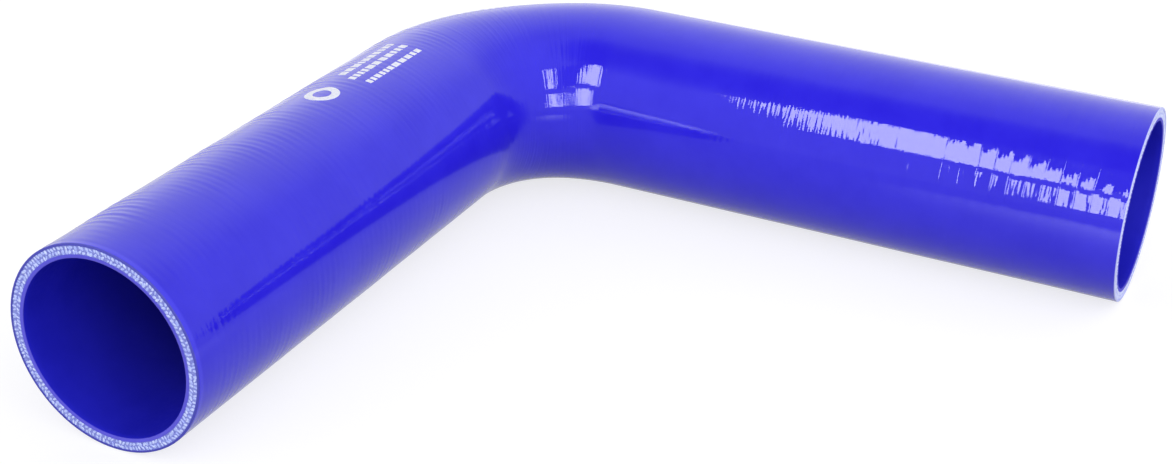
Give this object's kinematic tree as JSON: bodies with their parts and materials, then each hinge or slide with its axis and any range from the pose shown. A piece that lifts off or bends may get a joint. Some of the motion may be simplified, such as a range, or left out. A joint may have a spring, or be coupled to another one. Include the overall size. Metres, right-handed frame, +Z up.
{
  "type": "silicone elbow hose",
  "caption": "Right-angled elbow hose moulded from blue silicone with fabric plies, open at its cut ends, for joining pipes in an engine bay.",
  "frame": {"origin": "middle of the bounding box, on the surface that the hose lies on", "axes": "+Z up, square to the plane of the bend; leg A's open end faces -Y and leg B's open end faces +X"},
  "size_m": [0.289, 0.283, 0.07],
  "materials": {
    "blue_silicone": "gloss"
  },
  "bodies": {
    "root": {"elbow_hose": "blue_silicone"}
  },
  "joints": []
}
